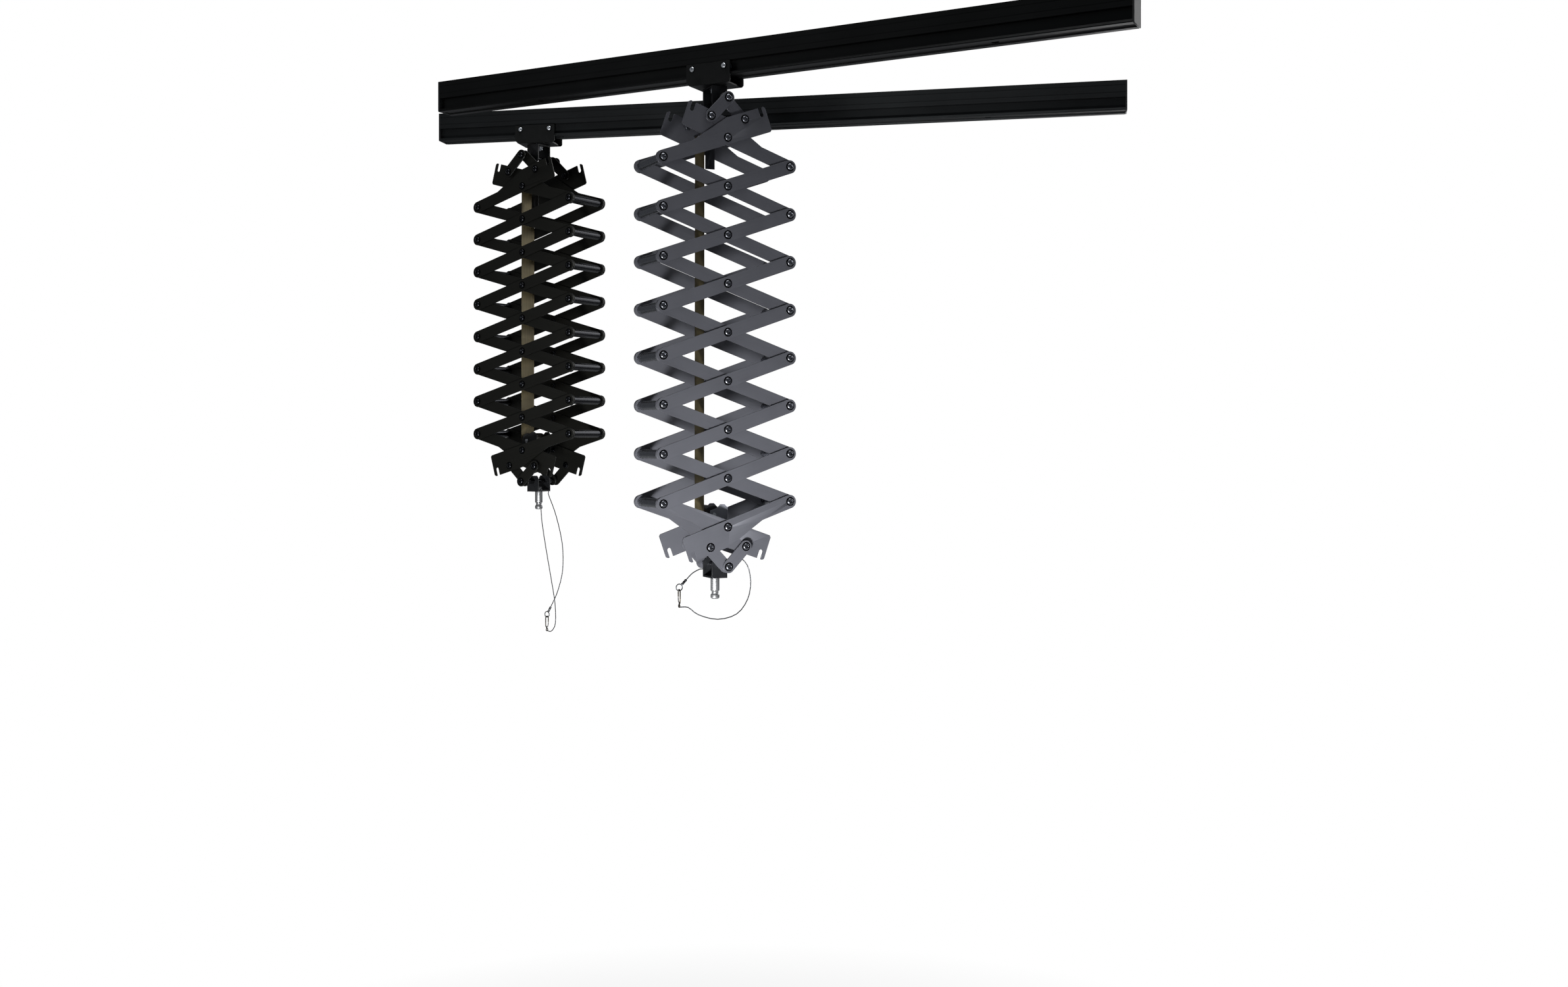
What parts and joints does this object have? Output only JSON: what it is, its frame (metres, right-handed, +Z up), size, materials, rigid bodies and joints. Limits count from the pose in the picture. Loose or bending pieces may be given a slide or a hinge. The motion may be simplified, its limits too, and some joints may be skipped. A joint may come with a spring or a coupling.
{
  "type": "ceiling rail system",
  "caption": "Ceiling rails with rolling carriages that carry swivelling, spring balanced scissor hangers with a stud and a safety cable.",
  "frame": {"origin": "centre of the front rail's ceiling face, midway between its two ceiling holes", "axes": "+X along the front rail to the right, +Y to the rear rail, +Z up into the ceiling"},
  "size_m": [1.5582, 0.7903, 1.1189],
  "materials": {
    "rail": "black anodised",
    "carriage": "black powder coat",
    "roller": "turned",
    "bracket": "black powder coat",
    "link": "grey-black anodised",
    "front_arm": "grey-black anodised",
    "rear_arm": "black anodised",
    "spring_band": "tempered brown",
    "cable": "stranded wire"
  },
  "bodies": {
    "rails": {"front_rail": "rail", "rear_rail": "rail"},
    "front_carriage": {"front_carriage": "carriage"},
    "front_rollers_left": {"front_rollers_left": "roller"},
    "front_rollers_right": {"front_rollers_right": "roller"},
    "front_hanger": {"front_hanger": "bracket", "front_spring": "spring_band"},
    "front_link_top_right": {"front_link_top_right": "link"},
    "front_link_top_left": {"front_link_top_left": "link"},
    "front_arm_a1": {"front_arm_a1": "front_arm"},
    "front_arm_b1": {"front_arm_b1": "front_arm"},
    "front_arm_a2": {"front_arm_a2": "front_arm"},
    "front_arm_b2": {"front_arm_b2": "front_arm"},
    "front_arm_a3": {"front_arm_a3": "front_arm"},
    "front_arm_b3": {"front_arm_b3": "front_arm"},
    "front_arm_a4": {"front_arm_a4": "front_arm"},
    "front_arm_b4": {"front_arm_b4": "front_arm"},
    "front_arm_a5": {"front_arm_a5": "front_arm"},
    "front_arm_b5": {"front_arm_b5": "front_arm"},
    "front_arm_a6": {"front_arm_a6": "front_arm"},
    "front_arm_b6": {"front_arm_b6": "front_arm"},
    "front_arm_a7": {"front_arm_a7": "front_arm"},
    "front_arm_b7": {"front_arm_b7": "front_arm"},
    "front_arm_a8": {"front_arm_a8": "front_arm"},
    "front_arm_b8": {"front_arm_b8": "front_arm"},
    "front_arm_a9": {"front_arm_a9": "front_arm"},
    "front_arm_b9": {"front_arm_b9": "front_arm"},
    "front_link_bottom_left": {"front_link_bottom_left": "link"},
    "front_link_bottom_right": {"front_link_bottom_right": "link"},
    "front_stirrup": {"front_stirrup": "bracket", "front_safety_cable": "cable"},
    "rear_carriage": {"rear_carriage": "carriage"},
    "rear_rollers_left": {"rear_rollers_left": "roller"},
    "rear_rollers_right": {"rear_rollers_right": "roller"},
    "rear_hanger": {"rear_hanger": "bracket", "rear_spring": "spring_band"},
    "rear_link_top_right": {"rear_link_top_right": "link"},
    "rear_link_top_left": {"rear_link_top_left": "link"},
    "rear_arm_a1": {"rear_arm_a1": "rear_arm"},
    "rear_arm_b1": {"rear_arm_b1": "rear_arm"},
    "rear_arm_a2": {"rear_arm_a2": "rear_arm"},
    "rear_arm_b2": {"rear_arm_b2": "rear_arm"},
    "rear_arm_a3": {"rear_arm_a3": "rear_arm"},
    "rear_arm_b3": {"rear_arm_b3": "rear_arm"},
    "rear_arm_a4": {"rear_arm_a4": "rear_arm"},
    "rear_arm_b4": {"rear_arm_b4": "rear_arm"},
    "rear_arm_a5": {"rear_arm_a5": "rear_arm"},
    "rear_arm_b5": {"rear_arm_b5": "rear_arm"},
    "rear_arm_a6": {"rear_arm_a6": "rear_arm"},
    "rear_arm_b6": {"rear_arm_b6": "rear_arm"},
    "rear_arm_a7": {"rear_arm_a7": "rear_arm"},
    "rear_arm_b7": {"rear_arm_b7": "rear_arm"},
    "rear_arm_a8": {"rear_arm_a8": "rear_arm"},
    "rear_arm_b8": {"rear_arm_b8": "rear_arm"},
    "rear_arm_a9": {"rear_arm_a9": "rear_arm"},
    "rear_arm_b9": {"rear_arm_b9": "rear_arm"},
    "rear_link_bottom_left": {"rear_link_bottom_left": "link"},
    "rear_link_bottom_right": {"rear_link_bottom_right": "link"},
    "rear_stirrup": {"rear_stirrup": "bracket", "rear_safety_cable": "cable"}
  },
  "joints": [
    {"name": "front_travel", "type": "slide", "parent": "rails", "child": "front_carriage", "axis": [1, 0, 0], "range_m": [-0.56, 0.7]},
    {"name": "front_rollers_left_spin", "type": "hinge", "parent": "front_carriage", "child": "front_rollers_left", "pos_m": [-0.102, 0, -0.0437], "axis": [0, 1, 0], "continuous": true},
    {"name": "front_rollers_right_spin", "type": "hinge", "parent": "front_carriage", "child": "front_rollers_right", "pos_m": [-0.038, 0, -0.0437], "axis": [0, 1, 0], "continuous": true},
    {"name": "front_swivel", "type": "hinge", "parent": "front_carriage", "child": "front_hanger", "pos_m": [-0.07, 0, -0.074], "axis": [0, 0, 1], "range_deg": [-180, 180]},
    {"name": "front_extend", "type": "hinge", "parent": "front_hanger", "child": "front_link_top_right", "pos_m": [-0.07, 0, -0.103], "axis": [-0.7986, 0.6018, 0], "range_deg": [-12.75, 26.75], "deforming": ["front_spring"]},
    {"name": "front_link_top_left_pivot", "type": "hinge", "parent": "front_hanger", "child": "front_link_top_left", "pos_m": [-0.07, 0, -0.103], "axis": [0.7986, -0.6018, 0], "range_deg": [-13.25, 27.25]},
    {"name": "front_arm_a1_pivot", "type": "hinge", "parent": "front_link_top_right", "child": "front_arm_a1", "pos_m": [-0.04993, 0.02663, -0.13795], "axis": [0.7986, -0.6018, 0], "range_deg": [-26, 54]},
    {"name": "front_arm_b2_pivot", "type": "hinge", "parent": "front_arm_a1", "child": "front_arm_b2", "pos_m": [-0.14386, -0.09802, -0.21575], "axis": [0.7986, -0.6018, 0], "range_deg": [-54, 26]},
    {"name": "front_arm_a3_pivot", "type": "hinge", "parent": "front_arm_b2", "child": "front_arm_a3", "pos_m": [0.00386, 0.09802, -0.30147], "axis": [0.7986, -0.6018, 0], "range_deg": [-26, 54]},
    {"name": "front_arm_b4_pivot", "type": "hinge", "parent": "front_arm_a3", "child": "front_arm_b4", "pos_m": [-0.14386, -0.09802, -0.38719], "axis": [0.7986, -0.6018, 0], "range_deg": [-54, 26]},
    {"name": "front_arm_a5_pivot", "type": "hinge", "parent": "front_arm_b4", "child": "front_arm_a5", "pos_m": [0.00386, 0.09802, -0.47291], "axis": [0.7986, -0.6018, 0], "range_deg": [-26, 54]},
    {"name": "front_arm_b6_pivot", "type": "hinge", "parent": "front_arm_a5", "child": "front_arm_b6", "pos_m": [-0.14386, -0.09802, -0.55863], "axis": [0.7986, -0.6018, 0], "range_deg": [-54, 26]},
    {"name": "front_arm_a7_pivot", "type": "hinge", "parent": "front_arm_b6", "child": "front_arm_a7", "pos_m": [0.00386, 0.09802, -0.64435], "axis": [0.7986, -0.6018, 0], "range_deg": [-26, 54]},
    {"name": "front_arm_b8_pivot", "type": "hinge", "parent": "front_arm_a7", "child": "front_arm_b8", "pos_m": [-0.14386, -0.09802, -0.73007], "axis": [0.7986, -0.6018, 0], "range_deg": [-54, 26]},
    {"name": "front_arm_a9_pivot", "type": "hinge", "parent": "front_arm_b8", "child": "front_arm_a9", "pos_m": [0.00386, 0.09802, -0.81579], "axis": [0.7986, -0.6018, 0], "range_deg": [-26, 54]},
    {"name": "front_arm_b1_crossing", "type": "hinge", "parent": "front_arm_a1", "child": "front_arm_b1", "pos_m": [-0.07, 0, -0.17289], "axis": [0.7986, -0.6018, 0], "range_deg": [-54, 26]},
    {"name": "front_arm_a2_crossing", "type": "hinge", "parent": "front_arm_b2", "child": "front_arm_a2", "pos_m": [-0.07, 0, -0.25861], "axis": [0.7986, -0.6018, 0], "range_deg": [-26, 54]},
    {"name": "front_arm_b3_crossing", "type": "hinge", "parent": "front_arm_a3", "child": "front_arm_b3", "pos_m": [-0.07, 0, -0.34433], "axis": [0.7986, -0.6018, 0], "range_deg": [-54, 26]},
    {"name": "front_arm_a4_crossing", "type": "hinge", "parent": "front_arm_b4", "child": "front_arm_a4", "pos_m": [-0.07, 0, -0.43005], "axis": [0.7986, -0.6018, 0], "range_deg": [-26, 54]},
    {"name": "front_arm_b5_crossing", "type": "hinge", "parent": "front_arm_a5", "child": "front_arm_b5", "pos_m": [-0.07, 0, -0.51577], "axis": [0.7986, -0.6018, 0], "range_deg": [-54, 26]},
    {"name": "front_arm_a6_crossing", "type": "hinge", "parent": "front_arm_b6", "child": "front_arm_a6", "pos_m": [-0.07, 0, -0.60149], "axis": [0.7986, -0.6018, 0], "range_deg": [-26, 54]},
    {"name": "front_arm_b7_crossing", "type": "hinge", "parent": "front_arm_a7", "child": "front_arm_b7", "pos_m": [-0.07, 0, -0.68721], "axis": [0.7986, -0.6018, 0], "range_deg": [-54, 26]},
    {"name": "front_arm_a8_crossing", "type": "hinge", "parent": "front_arm_b8", "child": "front_arm_a8", "pos_m": [-0.07, 0, -0.77293], "axis": [0.7986, -0.6018, 0], "range_deg": [-26, 54]},
    {"name": "front_arm_b9_crossing", "type": "hinge", "parent": "front_arm_a9", "child": "front_arm_b9", "pos_m": [-0.07, 0, -0.85865], "axis": [0.7986, -0.6018, 0], "range_deg": [-54, 26]},
    {"name": "front_link_bottom_left_pivot", "type": "hinge", "parent": "front_arm_a9", "child": "front_link_bottom_left", "pos_m": [-0.09007, -0.02663, -0.8936], "axis": [0.7986, -0.6018, 0], "range_deg": [-54, 26]},
    {"name": "front_link_bottom_right_pivot", "type": "hinge", "parent": "front_arm_b9", "child": "front_link_bottom_right", "pos_m": [-0.04993, 0.02663, -0.8936], "axis": [0.7986, -0.6018, 0], "range_deg": [-26, 54]},
    {"name": "front_stirrup_pivot", "type": "hinge", "parent": "front_link_bottom_left", "child": "front_stirrup", "pos_m": [-0.07, 0, -0.92854], "axis": [0.7986, -0.6018, 0], "range_deg": [-13.25, 27.25]},
    {"name": "rear_travel", "type": "slide", "parent": "rails", "child": "rear_carriage", "axis": [0.9613, 0.2756, 0], "range_m": [-0.17, 1.17]},
    {"name": "rear_rollers_left_spin", "type": "hinge", "parent": "rear_carriage", "child": "rear_rollers_left", "pos_m": [-0.69139, 0.28336, -0.0437], "axis": [-0.2756, 0.9613, 0], "continuous": true},
    {"name": "rear_rollers_right_spin", "type": "hinge", "parent": "rear_carriage", "child": "rear_rollers_right", "pos_m": [-0.62987, 0.301, -0.0437], "axis": [-0.2756, 0.9613, 0], "continuous": true},
    {"name": "rear_swivel", "type": "hinge", "parent": "rear_carriage", "child": "rear_hanger", "pos_m": [-0.66063, 0.29218, -0.074], "axis": [0, 0, 1], "range_deg": [-180, 180]},
    {"name": "rear_extend", "type": "hinge", "parent": "rear_hanger", "child": "rear_link_top_right", "pos_m": [-0.66063, 0.29218, -0.103], "axis": [0.0785, 0.9969, 0], "range_deg": [-9.1, 30.4], "deforming": ["rear_spring"]},
    {"name": "rear_link_top_left_pivot", "type": "hinge", "parent": "rear_hanger", "child": "rear_link_top_left", "pos_m": [-0.66063, 0.29218, -0.103], "axis": [-0.0785, -0.9969, 0], "range_deg": [-9.6, 30.9]},
    {"name": "rear_arm_a1_pivot", "type": "hinge", "parent": "rear_link_top_right", "child": "rear_arm_a1", "pos_m": [-0.62524, 0.2894, -0.13575], "axis": [-0.0785, -0.9969, 0], "range_deg": [-18.7, 61.3]},
    {"name": "rear_arm_b2_pivot", "type": "hinge", "parent": "rear_arm_a1", "child": "rear_arm_b2", "pos_m": [-0.78546, 0.30201, -0.20347], "axis": [-0.0785, -0.9969, 0], "range_deg": [-61.3, 18.7]},
    {"name": "rear_arm_a3_pivot", "type": "hinge", "parent": "rear_arm_b2", "child": "rear_arm_a3", "pos_m": [-0.53581, 0.28236, -0.27338], "axis": [-0.0785, -0.9969, 0], "range_deg": [-18.7, 61.3]},
    {"name": "rear_arm_b4_pivot", "type": "hinge", "parent": "rear_arm_a3", "child": "rear_arm_b4", "pos_m": [-0.78546, 0.30201, -0.3433], "axis": [-0.0785, -0.9969, 0], "range_deg": [-61.3, 18.7]},
    {"name": "rear_arm_a5_pivot", "type": "hinge", "parent": "rear_arm_b4", "child": "rear_arm_a5", "pos_m": [-0.53581, 0.28236, -0.41322], "axis": [-0.0785, -0.9969, 0], "range_deg": [-18.7, 61.3]},
    {"name": "rear_arm_b6_pivot", "type": "hinge", "parent": "rear_arm_a5", "child": "rear_arm_b6", "pos_m": [-0.78546, 0.30201, -0.48314], "axis": [-0.0785, -0.9969, 0], "range_deg": [-61.3, 18.7]},
    {"name": "rear_arm_a7_pivot", "type": "hinge", "parent": "rear_arm_b6", "child": "rear_arm_a7", "pos_m": [-0.53581, 0.28236, -0.55306], "axis": [-0.0785, -0.9969, 0], "range_deg": [-18.7, 61.3]},
    {"name": "rear_arm_b8_pivot", "type": "hinge", "parent": "rear_arm_a7", "child": "rear_arm_b8", "pos_m": [-0.78546, 0.30201, -0.62298], "axis": [-0.0785, -0.9969, 0], "range_deg": [-61.3, 18.7]},
    {"name": "rear_arm_a9_pivot", "type": "hinge", "parent": "rear_arm_b8", "child": "rear_arm_a9", "pos_m": [-0.53581, 0.28236, -0.6929], "axis": [-0.0785, -0.9969, 0], "range_deg": [-18.7, 61.3]},
    {"name": "rear_arm_b1_crossing", "type": "hinge", "parent": "rear_arm_a1", "child": "rear_arm_b1", "pos_m": [-0.66063, 0.29218, -0.16851], "axis": [-0.0785, -0.9969, 0], "range_deg": [-61.3, 18.7]},
    {"name": "rear_arm_a2_crossing", "type": "hinge", "parent": "rear_arm_b2", "child": "rear_arm_a2", "pos_m": [-0.66063, 0.29218, -0.23842], "axis": [-0.0785, -0.9969, 0], "range_deg": [-18.7, 61.3]},
    {"name": "rear_arm_b3_crossing", "type": "hinge", "parent": "rear_arm_a3", "child": "rear_arm_b3", "pos_m": [-0.66063, 0.29218, -0.30834], "axis": [-0.0785, -0.9969, 0], "range_deg": [-61.3, 18.7]},
    {"name": "rear_arm_a4_crossing", "type": "hinge", "parent": "rear_arm_b4", "child": "rear_arm_a4", "pos_m": [-0.66063, 0.29218, -0.37826], "axis": [-0.0785, -0.9969, 0], "range_deg": [-18.7, 61.3]},
    {"name": "rear_arm_b5_crossing", "type": "hinge", "parent": "rear_arm_a5", "child": "rear_arm_b5", "pos_m": [-0.66063, 0.29218, -0.44818], "axis": [-0.0785, -0.9969, 0], "range_deg": [-61.3, 18.7]},
    {"name": "rear_arm_a6_crossing", "type": "hinge", "parent": "rear_arm_b6", "child": "rear_arm_a6", "pos_m": [-0.66063, 0.29218, -0.5181], "axis": [-0.0785, -0.9969, 0], "range_deg": [-18.7, 61.3]},
    {"name": "rear_arm_b7_crossing", "type": "hinge", "parent": "rear_arm_a7", "child": "rear_arm_b7", "pos_m": [-0.66063, 0.29218, -0.58802], "axis": [-0.0785, -0.9969, 0], "range_deg": [-61.3, 18.7]},
    {"name": "rear_arm_a8_crossing", "type": "hinge", "parent": "rear_arm_b8", "child": "rear_arm_a8", "pos_m": [-0.66063, 0.29218, -0.65794], "axis": [-0.0785, -0.9969, 0], "range_deg": [-18.7, 61.3]},
    {"name": "rear_arm_b9_crossing", "type": "hinge", "parent": "rear_arm_a9", "child": "rear_arm_b9", "pos_m": [-0.66063, 0.29218, -0.72786], "axis": [-0.0785, -0.9969, 0], "range_deg": [-61.3, 18.7]},
    {"name": "rear_link_bottom_left_pivot", "type": "hinge", "parent": "rear_arm_a9", "child": "rear_link_bottom_left", "pos_m": [-0.69602, 0.29497, -0.76061], "axis": [-0.0785, -0.9969, 0], "range_deg": [-61.3, 18.7]},
    {"name": "rear_link_bottom_right_pivot", "type": "hinge", "parent": "rear_arm_b9", "child": "rear_link_bottom_right", "pos_m": [-0.62524, 0.2894, -0.76061], "axis": [-0.0785, -0.9969, 0], "range_deg": [-18.7, 61.3]},
    {"name": "rear_stirrup_pivot", "type": "hinge", "parent": "rear_link_bottom_left", "child": "rear_stirrup", "pos_m": [-0.66063, 0.29218, -0.79337], "axis": [-0.0785, -0.9969, 0], "range_deg": [-9.6, 30.9]}
  ],
  "couplings": [
    {"joint": "front_rollers_left_spin", "follows": "front_travel", "rad_per_m": 100},
    {"joint": "front_rollers_right_spin", "follows": "front_travel", "rad_per_m": 100},
    {"joint": "front_link_top_left_pivot", "follows": "front_extend", "ratio": 1},
    {"joint": "front_arm_a1_pivot", "follows": "front_extend", "ratio": 2},
    {"joint": "front_arm_b2_pivot", "follows": "front_extend", "ratio": -2},
    {"joint": "front_arm_a3_pivot", "follows": "front_extend", "ratio": 2},
    {"joint": "front_arm_b4_pivot", "follows": "front_extend", "ratio": -2},
    {"joint": "front_arm_a5_pivot", "follows": "front_extend", "ratio": 2},
    {"joint": "front_arm_b6_pivot", "follows": "front_extend", "ratio": -2},
    {"joint": "front_arm_a7_pivot", "follows": "front_extend", "ratio": 2},
    {"joint": "front_arm_b8_pivot", "follows": "front_extend", "ratio": -2},
    {"joint": "front_arm_a9_pivot", "follows": "front_extend", "ratio": 2},
    {"joint": "front_arm_b1_crossing", "follows": "front_extend", "ratio": -2},
    {"joint": "front_arm_a2_crossing", "follows": "front_extend", "ratio": 2},
    {"joint": "front_arm_b3_crossing", "follows": "front_extend", "ratio": -2},
    {"joint": "front_arm_a4_crossing", "follows": "front_extend", "ratio": 2},
    {"joint": "front_arm_b5_crossing", "follows": "front_extend", "ratio": -2},
    {"joint": "front_arm_a6_crossing", "follows": "front_extend", "ratio": 2},
    {"joint": "front_arm_b7_crossing", "follows": "front_extend", "ratio": -2},
    {"joint": "front_arm_a8_crossing", "follows": "front_extend", "ratio": 2},
    {"joint": "front_arm_b9_crossing", "follows": "front_extend", "ratio": -2},
    {"joint": "front_link_bottom_left_pivot", "follows": "front_extend", "ratio": -2},
    {"joint": "front_link_bottom_right_pivot", "follows": "front_extend", "ratio": 2},
    {"joint": "front_stirrup_pivot", "follows": "front_extend", "ratio": 1},
    {"joint": "rear_rollers_left_spin", "follows": "rear_travel", "rad_per_m": 100},
    {"joint": "rear_rollers_right_spin", "follows": "rear_travel", "rad_per_m": 100},
    {"joint": "rear_link_top_left_pivot", "follows": "rear_extend", "ratio": 1},
    {"joint": "rear_arm_a1_pivot", "follows": "rear_extend", "ratio": 2},
    {"joint": "rear_arm_b2_pivot", "follows": "rear_extend", "ratio": -2},
    {"joint": "rear_arm_a3_pivot", "follows": "rear_extend", "ratio": 2},
    {"joint": "rear_arm_b4_pivot", "follows": "rear_extend", "ratio": -2},
    {"joint": "rear_arm_a5_pivot", "follows": "rear_extend", "ratio": 2},
    {"joint": "rear_arm_b6_pivot", "follows": "rear_extend", "ratio": -2},
    {"joint": "rear_arm_a7_pivot", "follows": "rear_extend", "ratio": 2},
    {"joint": "rear_arm_b8_pivot", "follows": "rear_extend", "ratio": -2},
    {"joint": "rear_arm_a9_pivot", "follows": "rear_extend", "ratio": 2},
    {"joint": "rear_arm_b1_crossing", "follows": "rear_extend", "ratio": -2},
    {"joint": "rear_arm_a2_crossing", "follows": "rear_extend", "ratio": 2},
    {"joint": "rear_arm_b3_crossing", "follows": "rear_extend", "ratio": -2},
    {"joint": "rear_arm_a4_crossing", "follows": "rear_extend", "ratio": 2},
    {"joint": "rear_arm_b5_crossing", "follows": "rear_extend", "ratio": -2},
    {"joint": "rear_arm_a6_crossing", "follows": "rear_extend", "ratio": 2},
    {"joint": "rear_arm_b7_crossing", "follows": "rear_extend", "ratio": -2},
    {"joint": "rear_arm_a8_crossing", "follows": "rear_extend", "ratio": 2},
    {"joint": "rear_arm_b9_crossing", "follows": "rear_extend", "ratio": -2},
    {"joint": "rear_link_bottom_left_pivot", "follows": "rear_extend", "ratio": -2},
    {"joint": "rear_link_bottom_right_pivot", "follows": "rear_extend", "ratio": 2},
    {"joint": "rear_stirrup_pivot", "follows": "rear_extend", "ratio": 1}
  ]
}
